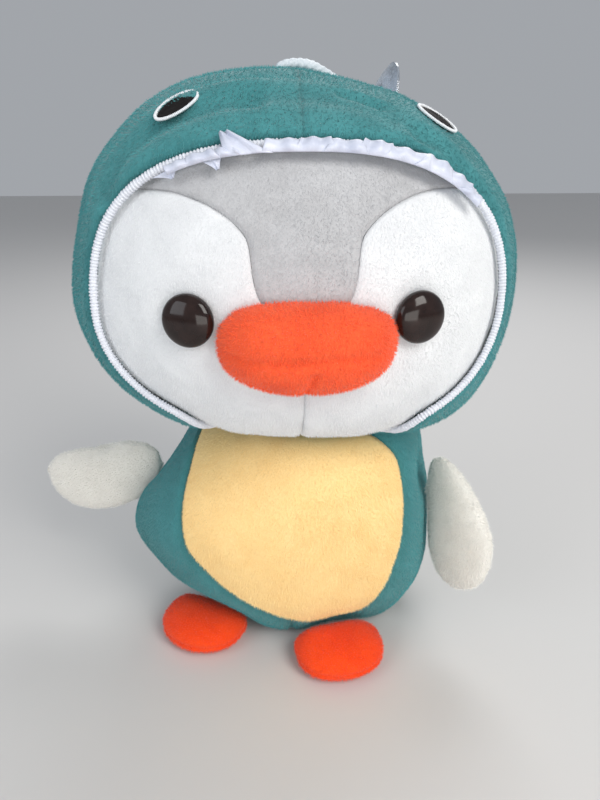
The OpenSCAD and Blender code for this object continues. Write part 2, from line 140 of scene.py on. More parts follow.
def oval(th, a, up, down, nUp, nDown):
    c = np.where(cosd(th) > 0, up, down)
    n = np.where(cosd(th) > 0, nUp, nDown)
    return (abs(sind(th) / a) ** n + abs(cosd(th) / c) ** n) ** (-1 / n)


def more(p, q, k):  # a rounded max
    return (p + q + np.sqrt((p - q) ** 2 + k * k)) / 2


def dish(p):  # height of the neck's hollow, where the head sits
    reach = (p[..., 0] - neck["mid"][0]) ** 2 + (p[..., 1] - neck["mid"][1]) ** 2
    return neck["z"] + neck["rise"] * reach


def aboveNeck(p, off):
    low = dish(p) + neck["gap"] + hoodOut - off
    return xyz(p[..., 0], p[..., 1], more(p[..., 2], low, neck["soft"]))


def headRay(d, off):
    off = np.asarray(off, float)
    u = leaned(d, -head["lean"])
    c = np.where(u[..., 2] > 0, head["up"], head["down"]) + off
    r = gauge(u, head["a"] + off, head["b"] + off, c, head["n"])
    return aboveNeck(np.array(head["mid"]) + d * r[..., None], off)


def faceY(x, z, off):
    u = leaned(xyz(x, 0, z - head["mid"][2]), -head["lean"])
    c = np.where(u[..., 2] > 0, head["up"], head["down"]) + off
    left = 1 - abs(u[..., 0] / (head["a"] + off)) ** head["n"] - abs(u[..., 2] / c) ** head["n"]
    return -(head["b"] + off) * np.maximum(0.02, left) ** (1 / head["n"])


def faceAt(x, z, off):
    return xyz(x, faceY(x, z, off), z)


def faceNormal(x, z):
    across = faceAt(x + 1, z, 0) - faceAt(x - 1, z, 0)
    rise = faceAt(x, z + 1, 0) - faceAt(x, z - 1, 0)
    return unit(np.cross(across, rise))


def underChin(th):  # 0 round the face, 1 under the chin
    t = np.clip((abs(np.where(th > 180, 360 - th, th)) - 126) / 34, 0, 1)
    return t * t * (3 - 2 * t)


def opening(th):  # reach of the hood's opening, which runs on under the chin
    return oval(th, face["a"], face["up"], face["down"], 2.5, 2) * (1 + face["tuck"] * underChin(th))


def rimPoint(th, s, off):
    r = s * opening(th)
    return aboveNeck(faceAt(r * sind(th), face["z"] + r * cosd(th), off), off)


def hoodAt(th, s, t, off):  # t runs from the opening, 0, to the middle of the back, 1
    d = unit(rimPoint(th, s, 0) - np.array(head["mid"]))
    straight = (np.abs(th) < 1e-6) | (np.abs(np.abs(th) - 180) < 1e-6)
    side = np.where(straight, th, np.degrees(np.arctan2(d[..., 0], d[..., 2])))
    ph = np.degrees(np.arccos(-d[..., 1]))
    return headRay(ray(side, mix(ph, 180, t)), off)


def brow(s):  # half angle of the forehead's panel
    flare = 30 * (np.maximum(0, 0.55 - s) / 0.35) ** 1.6
    return 33 + flare + 21 * (np.maximum(0, s - 0.55) / 0.45) ** 1.7


def torsoRay(d, off):
    off = np.asarray(off, float)
    u = leaned(d, torso["lean"])
    a = np.where(u[..., 0] > 0, torso["left"], torso["right"]) + off
    c = np.where(u[..., 2] > 0, torso["up"], torso["down"]) + off
    p = np.array(torso["mid"]) + d * gauge(u, a, torso["b"] + off, c, 2)[..., None]
    pull = sum(depth * np.exp(-(length(p - np.array(k)) / r) ** 2) for k, depth, r in dents)
    p = p - d * pull[..., None]
    z = -more(-p[..., 2], neck["gap"] - off - dish(p), neck["soft"])
    return xyz(p[..., 0], p[..., 1], more(z, skin + gap - off, 2.5))


def bellyRay(th, s):
    r = s * oval(th - belly["lean"], belly["a"], belly["up"], belly["down"], belly["n"], belly["n"])
    flat = xyz(r * sind(th), 0, r * cosd(th))
    u = leaned(flat, torso["lean"])
    a = np.where(u[..., 0] > 0, torso["left"], torso["right"])
    c = np.where(u[..., 2] > 0, torso["up"], torso["down"])
    y = -torso["b"] * np.sqrt(np.maximum(0.0004, 1 - (u[..., 0] / a) ** 2 - (u[..., 2] / c) ** 2))
    return unit(xyz(flat[..., 0], y, flat[..., 2]))


def lumps(p, size, seed):  # smooth noise from -1 to 1 at each point
    flat = p.reshape(-1, 3) / size
    values = [noise.noise(Vector((q[0] + seed, q[1], q[2]))) for q in flat]
    return np.array(values).reshape(p.shape[:-1])


def groove(distance, width):
    return np.exp(-(distance / width) ** 2)


def nearPath(p, path):  # distance from each point to a line through given points
    best = np.full(p.shape[:-1], 1e9)
    for a, b in zip(path[:-1], path[1:]):
        a, b = np.array(a, float), np.array(b, float)
        t = np.clip(((p - a) @ (b - a)) / ((b - a) @ (b - a)), 0, 1)
        best = np.minimum(best, length(p - a - t[..., None] * (b - a)))
    return best


# nodes and materials
class Value:  # a socket that adds Math nodes when it is used in a sum
    def __init__(self, tree, socket):
        self.tree, self.socket = tree, socket

    def math(self, kind, first, second):
        return self.tree.add("ShaderNodeMath", {"operation": kind}, {0: first, 1: second})

    def __add__(self, other):
        return self.math("ADD", self, other)

    def __sub__(self, other):
        return self.math("SUBTRACT", self, other)

    def __mul__(self, other):
        return self.math("MULTIPLY", self, other)

    def __radd__(self, other):
        return self.math("ADD", other, self)

    def __rsub__(self, other):
        return self.math("SUBTRACT", other, self)

    def __rmul__(self, other):
        return self.math("MULTIPLY", other, self)


class Tree:
    def __init__(self, tree):
        self.tree = tree

    def add(self, kind, settings={}, sockets={}, out=0):
        node = self.tree.nodes.new(kind)
        for key, value in settings.items():
            setattr(node, key, value)
        for key, value in sockets.items():
            value = value.socket if isinstance(value, Value) else value
            if isinstance(value, bpy.types.NodeSocket):
                self.tree.links.new(value, node.inputs[key])
            else:
                node.inputs[key].default_value = value
        return Value(self, node.outputs[out]) if node.outputs else node


def tint(r, g, b):  # a colour from 0 to 255 as seen, made linear
    return tuple(((v / 255 + 0.055) / 1.055) ** 2.4 if v > 10 else v / 3295 for v in (r, g, b))


def rgba(colour):
    return (*(min(1, c) for c in colour), 1)


def newMaterial(name, fixed, vary=None):  # vary returns the sockets that change over the surface
    made = bpy.data.materials.new(name)
    made.use_nodes = True
    made.node_tree.nodes.clear()
    tree = Tree(made.node_tree)
    varied = vary(tree, tree.add("ShaderNodeTexCoord", out=3)) if vary else {}
    surface = tree.add("ShaderNodeBsdfPrincipled", {}, {**fixed, **varied})
    tree.add("ShaderNodeOutputMaterial", {}, {"Surface": surface})
    return made


def mixColour(tree, share, low, high):
    return tree.add("ShaderNodeMix", {"data_type": "RGBA"}, {0: share, 6: rgba(low), 7: rgba(high)}, 2)


def grain(tree, spot, scale, detail, **more):
    return tree.add("ShaderNodeTexNoise", {}, {"Vector": spot, "Scale": scale, "Detail": detail, **more})


def bumps(tree, strength, deep, height):  # deep is in mm
    return tree.add("ShaderNodeBump", {},
                    {"Strength": strength, "Distance": deep * mm, "Height": height})


# lit is how far the base colour leans to the painted lit tip
plushLook = dict(napSize=16, fibreSize=0.8, napDepth=0.22, fibreDepth=0.35, lit=0.62,
                 bump=0.4, bumpDeep=0.7, sheen=0.3)


def plush(name, tip, root):  # short pile: nap patches over fine fibres; the base colour mixes painted light at the tip with painted shade at the root
    def vary(tree, spot):
        nap = grain(tree, spot, 1000 / plushLook["napSize"], 3.0, Roughness=0.6, Distortion=0.8)
        fibre = grain(tree, spot, 1000 / plushLook["fibreSize"], 2.0, Roughness=0.7)
        share = ((nap - 0.5) * (4 * plushLook["napDepth"]) + (fibre - 0.5) * plushLook["fibreDepth"]
                 + plushLook["lit"])
        return {"Base Color": mixColour(tree, share, root, tip),
                "Normal": bumps(tree, plushLook["bump"], plushLook["bumpDeep"], fibre * 0.8 + nap * 0.6)}

    return newMaterial(name, {"Roughness": 0.88, "Sheen Weight": plushLook["sheen"],
                              "Sheen Roughness": 0.45, "Specular IOR Level": 0.2}, vary)


def pileTones(name, tip, root, step):  # three plain tones for the standing pile, stepping from painted light at the tip to painted shade at the root
    tones = []
    for k in range(3):
        shade = tuple(mix(deep, light, 1 - step * k) for deep, light in zip(root, tip))
        tones.append(newMaterial(f"{name}{k}", {"Base Color": rgba(shade), "Roughness": 0.8,
                                                "Sheen Weight": 0.4, "Sheen Roughness": 0.4,
                                                "Specular IOR Level": 0.25}))
    return tones


# each fabric: the painted lit tip of its pile, its root in painted shade, and the step between its tones
fabrics = dict(
    tealPlush=(tint(78, 148, 152), tint(40, 98, 102), 0.11),
    greyPlush=(tint(198, 199, 202), tint(150, 150, 152), 0.07),
    whitePlush=(tint(234, 236, 238), tint(200, 202, 206), 0.07),
    creamPlush=(tint(252, 224, 164), tint(232, 188, 116), 0.12),
    beakPlush=(tint(250, 108, 62), tint(208, 60, 28), 0.13),
    footPlush=(tint(250, 84, 26), tint(214, 50, 10), 0.13),
    wingPlush=(tint(238, 236, 230), tint(200, 196, 188), 0.08),
)
cloths = {name: plush(name, tip, root) for name, (tip, root, step) in fabrics.items()}
piles = {name: pileTones(name + "Pile", *values) for name, values in fabrics.items()}


def trimMaterial():  # ribbed white binding, a little soiled
    def vary(tree, spot):
        yarn = grain(tree, spot, 1400.0, 2.0)
        soil = grain(tree, spot, 60.0, 2.0)
        share = yarn * 0.7 + soil * 0.3
        return {"Base Color": mixColour(tree, share, tint(186, 192, 204), tint(244, 246, 252)),
                "Normal": bumps(tree, 0.5, 0.3, yarn)}

    return newMaterial("whiteTrim", {"Roughness": 0.6, "Sheen Weight": 0.2}, vary)


def satinMaterial():
    def vary(tree, spot):
        thread = tree.add("ShaderNodeTexWave", {"bands_direction": "DIAGONAL"},
                          {"Vector": spot, "Scale": 700.0, "Distortion": 1.0, "Detail": 1.0}, 1)
        cloud = grain(tree, spot, 160.0, 3.0)
        share = cloud * 1.6 - 0.3
        return {"Base Color": mixColour(tree, share, tint(170, 178, 200), tint(224, 228, 242)),
                "Normal": bumps(tree, 0.25, 0.2, thread * 0.5 + cloud * 0.8)}

    return newMaterial("satin", {"Roughness": 0.38, "Sheen Weight": 0.3,
                                 "Specular IOR Level": 0.5}, vary)


def threadMaterial(name, low, high, rough):
    def vary(tree, spot):
        yarn = grain(tree, spot, 1100.0, 3.0)
        return {"Base Color": mixColour(tree, yarn, low, high), "Normal": bumps(tree, 0.4, 0.3, yarn)}

    return newMaterial(name, {"Roughness": rough, "Specular IOR Level": 0.25}, vary)


def eyeMaterial():
    def vary(tree, spot):
        swirl = grain(tree, spot, 240.0, 3.0)
        return {"Base Color": mixColour(tree, swirl * 1.4 - 0.2, tint(20, 13, 12), tint(46, 32, 29)),
                "Roughness": swirl * 0.1 + 0.06}

    return newMaterial("eyePlastic", {"Specular IOR Level": 0.35}, vary)


def clearMaterial():
    def vary(tree, spot):
        return {"Roughness": grain(tree, spot, 120.0, 3.0) * 0.16 + 0.04}

    return newMaterial("clearPlastic", {"Base Color": rgba((0.80, 0.87, 0.96)), "IOR": 1.45,
                                        "Transmission Weight": 0.9}, vary)


trim, satin, clear, eyePlastic = trimMaterial(), satinMaterial(), clearMaterial(), eyeMaterial()
cordThread = threadMaterial("cordThread", tint(180, 192, 202), tint(234, 240, 244), 0.55)
blackThread = threadMaterial("blackThread", tint(10, 9, 9), tint(30, 27, 27), 0.7)
whiteThread = threadMaterial("whiteThread", tint(206, 210, 216), tint(246, 248, 250), 0.45)
labelTape = threadMaterial("labelTape", tint(214, 214, 210), tint(244, 244, 240), 0.7)
washer = threadMaterial("washerPlastic", tint(220, 220, 214), tint(232, 232, 228), 0.5)
print("materials made:", len(bpy.data.materials))


# meshes from grids of points
def smoothFaces(mesh):
    for polygon in mesh.polygons:
        polygon.use_smooth = True


def newMesh(name, points, faces, material):
    mesh = bpy.data.meshes.new(name)
    mesh.from_pydata([tuple(p * mm) for p in points], [], faces)
    mesh.validate()
    work = bmesh.new()
    work.from_mesh(mesh)
    bmesh.ops.remove_doubles(work, verts=work.verts, dist=2e-6)
    work.to_mesh(mesh)
    work.free()
    mesh.materials.append(material)
    smoothFaces(mesh)
    return newObject(name, mesh)


def gridPiece(name, grid, material, wrap=False, inside=None):
    rows, cols = grid.shape[:2]
    points = grid.reshape(-1, 3)
    corner = np.arange(rows * cols).reshape(rows, cols)
    faces = [(corner[i, j], corner[i + 1, j], corner[i + 1, (j + 1) % cols], corner[i, (j + 1) % cols])
             for i in range(rows - 1) for j in range(cols if wrap else cols - 1)]
    middle = points.mean(0) if inside is None else np.array(inside)
    quads = points[np.array(faces)]
    normals = np.cross(quads[:, 2] - quads[:, 0], quads[:, 3] - quads[:, 1])
    if (normals * (quads.mean(1) - middle)).sum() < 0:
        faces = [f[::-1] for f in faces]
    return newMesh(name, points, faces, material)


def thicken(piece, depth=1.2):
    wall = piece.modifiers.new("thickness", "SOLIDIFY")
    wall.thickness = depth * mm
    wall.offset = -1
    return piece


def settled(piece):  # the piece with its modifiers made plain mesh
    graph = bpy.context.evaluated_depsgraph_get()
    graph.update()
    plain = bpy.data.meshes.new_from_object(piece.evaluated_get(graph), depsgraph=graph)
    piece.modifiers.clear()
    piece.data = plain
    return piece


def declare(piece, body, slot, *nodes):
    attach(piece, body)
    if nodes:
        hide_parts(*nodes)
    return piece


# standing pile: tufts scattered over a cover
def socketIn(group, name, kind):
    group.interface.new_socket(name=name, in_out="INPUT", socket_type="NodeSocket" + kind)


def randomValue(tree, low, high, seed):
    return tree.add("FunctionNodeRandomValue", {"data_type": "FLOAT"}, {2: low, 3: high, 8: seed}, 1)


def pileTree():
    group = bpy.data.node_groups.new("pile", "GeometryNodeTree")
    group.interface.new_socket(name="Pile", in_out="OUTPUT", socket_type="NodeSocketGeometry")
    for name, kind in (("Cover", "Geometry"), ("Density", "Float"), ("Height", "Float"),
                       ("Width", "Float"), ("Comb", "Vector"), ("Stray", "Float"), ("Seed", "Int"),
                       ("Light", "Material"), ("Middle", "Material"), ("Shaded", "Material")):
        socketIn(group, name, kind)
    tree = Tree(group)
    given = group.nodes.new("NodeGroupInput").outputs
    points = tree.add("GeometryNodeDistributePointsOnFaces", {},
                      {"Mesh": given["Cover"], "Density": given["Density"], "Seed": given["Seed"]})
    normal = Value(tree, points.socket.node.outputs["Normal"])
    wild = tree.add("FunctionNodeRandomValue", {"data_type": "FLOAT_VECTOR"},
                    {0: (-1, -1, -1), 1: (1, 1, 1), 8: given["Seed"]})
    stray = tree.add("ShaderNodeVectorMath", {"operation": "SCALE"}, {0: wild, 3: given["Stray"]})
    swept = tree.add("ShaderNodeVectorMath", {}, {0: normal, 1: given["Comb"]})
    stood = tree.add("ShaderNodeVectorMath", {}, {0: swept, 1: stray})
    turn = tree.add("FunctionNodeAlignRotationToVector", {"axis": "Z"}, {"Vector": stood})
    tuft = tree.add("GeometryNodeMeshCone", {"fill_type": "NONE"},
                    {"Vertices": 3, "Side Segments": 1, "Radius Top": 0.0,
                     "Radius Bottom": given["Width"], "Depth": given["Height"]})
    size = randomValue(tree, 0.6, 1.15, given["Seed"])
    tufts = tree.add("GeometryNodeInstanceOnPoints", {},
                     {"Points": points, "Instance": tuft, "Rotation": turn, "Scale": size})
    nap = tree.add("ShaderNodeTexNoise", {}, {"Scale": 90.0, "Detail": 2.0})
    luck = randomValue(tree, -0.16, 0.16, given["Seed"])
    toned = tree.add("GeometryNodeStoreNamedAttribute", {"data_type": "FLOAT", "domain": "INSTANCE"},
                     {"Geometry": tufts, "Name": "tone", "Value": nap + luck})
    loose = tree.add("GeometryNodeRealizeInstances", {}, {"Geometry": toned})
    tone = tree.add("GeometryNodeInputNamedAttribute", {"data_type": "FLOAT"}, {"Name": "tone"})
    laid = tree.add("GeometryNodeSetMaterial", {}, {"Geometry": loose, "Material": given["Light"]})
    # low tones get the middle or the painted shade material
    for limit, key in ((0.52, "Middle"), (0.40, "Shaded")):
        low = tree.add("FunctionNodeCompare", {"operation": "LESS_THAN"}, {0: tone, 1: limit})
        laid = tree.add("GeometryNodeSetMaterial", {},
                        {"Geometry": laid, "Selection": low, "Material": given[key]})
    end = group.nodes.new("NodeGroupOutput")
    group.links.new(laid.socket, end.inputs[0])
    return group


pileGroup = pileTree()
pileLook = dict(density=2.6, height=1.2, width=0.11, comb=(0, 0, -1.2), stray=0.3)  # per mm2, mm


def runTree(piece, group, values):
    nodes = piece.modifiers.new(group.name, "NODES")
    nodes.node_group = group
    for item in group.interface.items_tree:
        if item.in_out == "INPUT" and item.name in values:
            nodes[item.identifier] = values[item.name]
    return settled(piece)


def growPile(cover, fabric, body, slot, seed, **changes):
    look = dict(pileLook, **changes)
    pile = newObject(cover.name + "Pile", cover.data.copy())
    tones = piles[fabric]
    runTree(pile, pileGroup, {"Density": look["density"] * 1e6, "Height": look["height"] * mm,
                              "Width": look["width"] * mm, "Comb": look["comb"], "Stray": look["stray"],
                              "Seed": seed, "Light": tones[0], "Middle": tones[1], "Shaded": tones[2]})
    if "tone" in pile.data.attributes:
        pile.data.attributes.remove(pile.data.attributes["tone"])
    for v in pile.data.vertices:  # pressed flat on the ground
        v.co.z = max(v.co.z, 0)
    return declare(pile, body, slot)


# hang cord: a twisted cord through the cup's eye
hangCord = dict(diameter=3.6, strands=3, twist=9, valley=0.2, sides=18, each=8)
cordRoute = [(-5, 10, 250), (-4.2, 10.2, 251.2), (-1.5, 10.8, 252), (2.5, 11.5, 252.2),
             (8, 12.6, 251.4), (12.8, 14.4, 249.8), (17.5, 18, 247.6), (22.3, 23.8, 245.8),
             (25.5, 31, 244.8), (29.7, 38.6, 244.2), (33.9, 41.8, 243.4), (35.5, 46, 242.8),
             (34.1, 50.4, 242.2), (29.9, 53.6, 241.4), (24.4, 53.4, 240.8), (20.4, 48.8, 241.4),
             (18.7, 41.8, 243.6), (17.4, 34.6, 246.4), (14.7, 27.2, 249.6), (10.4, 21.2, 252),
             (4.6, 17, 253), (-1.4, 15.2, 252.6), (-4.2, 14.8, 251.2), (-5, 14.8, 250)]


def smoothPath(points, each):  # a Catmull-Rom line through the points
    p = np.array(points, float)
    p = np.vstack([2 * p[0] - p[1], p, 2 * p[-1] - p[-2]])
    line = []
    for i in range(1, len(p) - 2):
        for t in np.arange(each) / each:
            a, b, c, d = p[i - 1], p[i], p[i + 1], p[i + 2]
            line.append(0.5 * (2 * b + (c - a) * t + (2 * a - 5 * b + 4 * c - d) * t ** 2
                               + (3 * b - a - 3 * c + d) * t ** 3))
    line.append(p[-2])
    return np.array(line)


def framesAlong(line):  # tangents and two turning-free sides
    tangents = unit(np.gradient(line, axis=0))
    side = unit(np.cross(tangents[0], (0.3, -0.8, 0.5)))
    sides = []
    for t in tangents:
        side = unit(side - t * (side @ t))
        sides.append(side)
    sides = np.array(sides)
    return tangents, sides, np.cross(tangents, sides)


def makeCord():
    line = smoothPath(cordRoute, hangCord["each"])
    tangents, e, f = framesAlong(line)
    run = np.concatenate([[0], np.cumsum(length(np.diff(line, axis=0)))])
    turns = np.arange(hangCord["sides"]) * 2 * math.pi / hangCord["sides"]
    phase = hangCord["strands"] / 2 * (turns[None] + run[:, None] * 2 * math.pi / hangCord["twist"])
    r = hangCord["diameter"] / 2 * (1 - hangCord["valley"] * (1 - abs(np.cos(phase))))
    grid = line[:, None] + r[..., None] * (e[:, None] * np.cos(turns)[None, :, None]
                                           + f[:, None] * np.sin(turns)[None, :, None])
    ends = [np.repeat(line[k][None, None], hangCord["sides"], 1) for k in (0, -1)]
    piece = gridPiece("hangCord", np.concatenate([ends[0], grid, ends[1]]), cordThread, wrap=True)
    work = bmesh.new()
    work.from_mesh(piece.data)
    bmesh.ops.recalc_face_normals(work, faces=work.faces)
    work.to_mesh(piece.data)
    work.free()
    declare(piece, "hang_loop", "cord_white", "loop_cord")


makeCord()
print("hang cord made")

# hood
hoodLook = dict(grooveDepth=0.45, grooveWidth=1.3, lump=0.8, rows=110, cols=90, wall=1.3)
hoodCreases = [  # points, depth, width
    ([(-64, -43, 208), (-57, -41, 219), (-48.9, -42.6, 227.1), (-31.7, -45.1, 233.8),
      (-16, -45.4, 236.6)], 2.0, 4.2),
    ([(-16, -45.4, 236.6), (6, -43, 238.4), (25, -41.6, 234.6), (38.6, -46.1, 226.5)], 0.8, 4.6),
    ([(66, -46, 200), (54, -48, 214), (47.6, -46.5, 221.1), (38.6, -46.1, 226.5)], 1.5, 3.4),
    ([(13, -39, 239), (19.5, -39.6, 237.6), (27, -40.4, 235.4)], 1.5, 1.7),
    ([(-50, -25, 228), (-36, -28, 238), (-18, -30, 243), (0, -31, 244.5)], 0.7, 4.5),
]


def hoodSurface(th, row):  # row 0 is under the binding, and the roll of the hem comes first
    s = np.interp(row, [0, 1, 2, 3, 4], [0.998, 1.002, 1.012, 1.03, 1.05])
    off = np.interp(row, [0, 1, 2, 3, 4], [0.6, 2.2, 3.2, 3.7, 3.6])
    t = np.clip((row - 4) / (hoodLook["rows"] - 5), 0, 1)
    return hoodAt(th, s, t, off)


def makeHood(name, node, start, end):
    turns = np.linspace(start, end, hoodLook["cols"])
    th, row = np.meshgrid(turns, np.arange(hoodLook["rows"], dtype=float))
    grid = hoodSurface(th, row)
    outward = unit(grid - np.array(head["mid"]))
    behind = np.clip((grid[..., 1] + 25) / 15, 0, 1)
    change = -hoodLook["grooveDepth"] * groove(grid[..., 0], hoodLook["grooveWidth"]) * behind
    soft = lumps(grid, 26, 3) + 0.5 * lumps(grid, 11, 7)
    change += hoodLook["lump"] * soft * np.clip(row / 12, 0, 1)
    for path, depth, width in hoodCreases:
        near = nearPath(grid, path)
        change += depth * (0.6 * groove(near - width * 1.7, width) - groove(near, width))
    grid = grid + outward * change[..., None]
    piece = gridPiece(name, grid, cloths["tealPlush"], inside=head["mid"])
    growPile(piece, "tealPlush", "head", "teal_plush", 11 if start < 0 else 12, density=1.9, width=0.125,
             comb=(0, 0.25, -0.8))
    declare(thicken(piece, hoodLook["wall"]), "head", "teal_plush", node)


makeHood("hoodLeft", "hood_left", 0, 180)
makeHood("hoodRight", "hood_right", -180, 0)
print("hood made")

# binding: ribs strung along the opening
bindingLook = dict(spacing=1.15, ribLong=0.62, ribWide=1.5, core=1.15, off=2.7, share=0.998,
                   tuckShare=0.03, tuckOff=1.6)


def ribTree():
    group = bpy.data.node_groups.new("ribs", "GeometryNodeTree")
    group.interface.new_socket(name="Ribs", in_out="OUTPUT", socket_type="NodeSocketGeometry")
    for name, kind in (("Path", "Geometry"), ("Spacing", "Float"), ("Rib Size", "Vector"),
                       ("Core", "Float"), ("Seed", "Int"), ("Material", "Material")):
        socketIn(group, name, kind)
    tree = Tree(group)
    given = group.nodes.new("NodeGroupInput").outputs
    path = tree.add("GeometryNodeMeshToCurve", {}, {"Mesh": given["Path"]})
    even = tree.add("GeometryNodeResampleCurve", {"mode": "LENGTH"},
                    {"Curve": path, "Length": given["Spacing"]})
    along = tree.add("GeometryNodeInputTangent")
    bead = tree.add("GeometryNodeMeshUVSphere", {}, {"Segments": 12, "Rings": 7, "Radius": 1.0})
    turn = tree.add("FunctionNodeAlignRotationToVector", {"axis": "X"}, {"Vector": along})
    vary = randomValue(tree, 0.93, 1.07, given["Seed"])
    size = tree.add("ShaderNodeVectorMath", {"operation": "SCALE"}, {0: given["Rib Size"], 3: vary})
    ribs = tree.add("GeometryNodeInstanceOnPoints", {},
                    {"Points": even, "Instance": bead, "Rotation": turn, "Scale": size})
    ring = tree.add("GeometryNodeCurvePrimitiveCircle", {}, {"Resolution": 12, "Radius": given["Core"]})
    core = tree.add("GeometryNodeCurveToMesh", {}, {"Curve": path, "Profile Curve": ring})
    both = tree.add("GeometryNodeJoinGeometry")
    group.links.new(ribs.socket, both.socket.node.inputs[0])
    group.links.new(core.socket, both.socket.node.inputs[0])
    loose = tree.add("GeometryNodeRealizeInstances", {}, {"Geometry": both})
    smooth = tree.add("GeometryNodeSetShadeSmooth", {}, {"Geometry": loose})
    laid = tree.add("GeometryNodeSetMaterial", {}, {"Geometry": smooth, "Material": given["Material"]})
    end = group.nodes.new("NodeGroupOutput")
    group.links.new(laid.socket, end.inputs[0])
    return group


ribGroup = ribTree()


def closedPath(name, line):
    mesh = bpy.data.meshes.new(name)
    edges = [(i, (i + 1) % len(line)) for i in range(len(line))]
    mesh.from_pydata([tuple(p * mm) for p in line], edges, [])
    return newObject(name, mesh)


def makeBinding():
    th = np.arange(240) * 1.5
    tuck = underChin(th)
    line = rimPoint(th, bindingLook["share"] + bindingLook["tuckShare"] * tuck,
                    bindingLook["off"] - bindingLook["tuckOff"] * tuck)
    rope = closedPath("hoodBinding", line)
    size = (bindingLook["ribLong"] * mm, bindingLook["ribWide"] * mm, bindingLook["ribWide"] * mm)
    runTree(rope, ribGroup, {"Spacing": bindingLook["spacing"] * mm, "Rib Size": size,
                             "Core": bindingLook["core"] * mm, "Seed": 4, "Material": trim})
    declare(rope, "head", "white_trim", "hood_binding")


makeBinding()
print("binding made")

# teeth: satin points, some hanging, most turned up over the brow
toothLook = dict(reach=55, upAt=0.955, upOff=4.5, downAt=0.975, downOff=4.4, thick=0.35)
teethRows = [  # base from, base to, tip at, rise in mm, ruffle, blunt
    (-46, -38, -41.5, -2.4, 0.2, 0.1), (-42, -33, -38, 2.0, 0.4, 0.8), (-36, -26, -31, 2.3, 0.5, 0.8),
    (-33, -25, -28.5, -3.9, 0.3, 0.1), (-29, -20, -25, 2.2, 0.5, 0.7), (-25, -10, -23.5, 5.6, 0.6, 0.2),
    (-14, 2, -6, 3.0, 0.6, 0.7), (-4, 11, 4, 3.3, 0.6, 0.6), (6, 21, 13, 3.0, 0.6, 0.7),
    (16, 30, 22, 3.5, 0.6, 0.6), (25, 40, 33, 3.1, 0.6, 0.7), (35, 48, 40, 3.4, 0.6, 0.6),
    (43, 54, 49, 2.9, 0.5, 0.7), (50, 58, 55, 2.2, 0.4, 0.6)]


def toothGrid(start, end, tip, rise, ruffle, blunt, seed):
    u, v = np.meshgrid(np.linspace(0, 1, 25), np.linspace(0, 1, 13))
    side = mix(start, end, u)
    th = mix(side, tip + (side - tip) * blunt, v ** 0.8)
    wave = np.sin(u * 2 * math.pi * 1.7 + seed * 2.3) * ruffle * (0.25 + 0.75 * v)
    if rise > 0:
        s = toothLook["upAt"] + (1.25 * rise * v + 0.45 * wave * v) / toothLook["reach"]
        off = toothLook["upOff"] + 0.9 * np.sin(np.pi * v) + 0.9 * v + 1.1 * wave + 0.15 * (seed % 3)
    else:
        s = toothLook["downAt"] + rise * v / toothLook["reach"]
        off = toothLook["downOff"] - 1.2 * v + wave
    return rimPoint(th, s, off)


def makeTeeth():
    parts = [gridPiece(f"tooth{k}", toothGrid(*row, k), satin, inside=head["mid"])
             for k, row in enumerate(teethRows)]
    work = bmesh.new()
    for part in parts:
        work.from_mesh(part.data)
        bpy.data.objects.remove(part)
    mesh = bpy.data.meshes.new("hoodTeeth")
    work.to_mesh(mesh)
    work.free()
    mesh.materials.append(satin)
    smoothFaces(mesh)
    piece = newObject("hoodTeeth", mesh)
    declare(thicken(piece, toothLook["thick"]), "head", "satin", "hood_teeth")


makeTeeth()
print("teeth made")

# the hood's own eyes: a pad of black satin stitch with a white outline
hoodEyeLook = dict(long=7.0, wide=4.7, reach=82, rise=4.3, crown=0.8, stitch=0.1, thick=0.6,
                   outlineWide=0.62, outlineHigh=0.55, outlineRise=4.8, stitchEvery=0.55)


def hoodEyeSpot(toward, lean, s, th, off):
    mid = unit(np.array(toward, float))
    e = unit(np.cross(mid, (0, 0, 1)))
    f = np.cross(mid, e)
    u, v = s * hoodEyeLook["long"] * cosd(th), s * hoodEyeLook["wide"] * sind(th)
    u, v = u * cosd(lean) - v * sind(lean), u * sind(lean) + v * cosd(lean)
    return headRay(unit(mid + (e * u[..., None] + f * v[..., None]) / hoodEyeLook["reach"]), off)


def makeHoodEye(name, node, toward, lean):
    th, s = np.meshgrid(np.linspace(0, 360, 73), np.linspace(0, 1, 16))
    stitch = hoodEyeLook["stitch"] * np.sin(s * 55 * sind(th + 30))
    off = hoodEyeLook["rise"] + hoodEyeLook["crown"] * (1 - s ** 6) + stitch
    pad = gridPiece(name, hoodEyeSpot(toward, lean, s, th, off), blackThread, inside=head["mid"])
    declare(thicken(pad, hoodEyeLook["thick"]), "head", "embroidery", node)
    turns = np.arange(0, 360, 2.0)
    edge, rise = np.full(turns.shape, 1.04), np.full(turns.shape, hoodEyeLook["outlineRise"])
    line = hoodEyeSpot(toward, lean, edge, turns, rise)
    ring = closedPath(name + "Outline", line)
    runTree(ring, ribGroup, {"Spacing": hoodEyeLook["stitchEvery"] * mm,
                             "Rib Size": (0.32 * mm, hoodEyeLook["outlineWide"] * mm,
                                          hoodEyeLook["outlineHigh"] * mm),
                             "Core": 0.4 * mm, "Seed": 5, "Material": whiteThread})
    declare(ring, "head", "embroidery")


makeHoodEye("hoodEyeLeft", "hood_eye_left", (47, -31, 62.8), 110)
makeHoodEye("hoodEyeRight", "hood_eye_right", (-39, -40, 66.3), 60)
print("hood eyes made")

# face and back of the head
faceLook = dict(grooveDepth=0.9, grooveWidth=1.3, puff=0.8, lump=0.5, chin=1.6,
                eyeX=37.2, eyeZ=172, dimple=1.3, dimpleWide=6)
facePile = dict(height=0.9, width=0.09, comb=(0, 0, -1.3), stray=0.25)


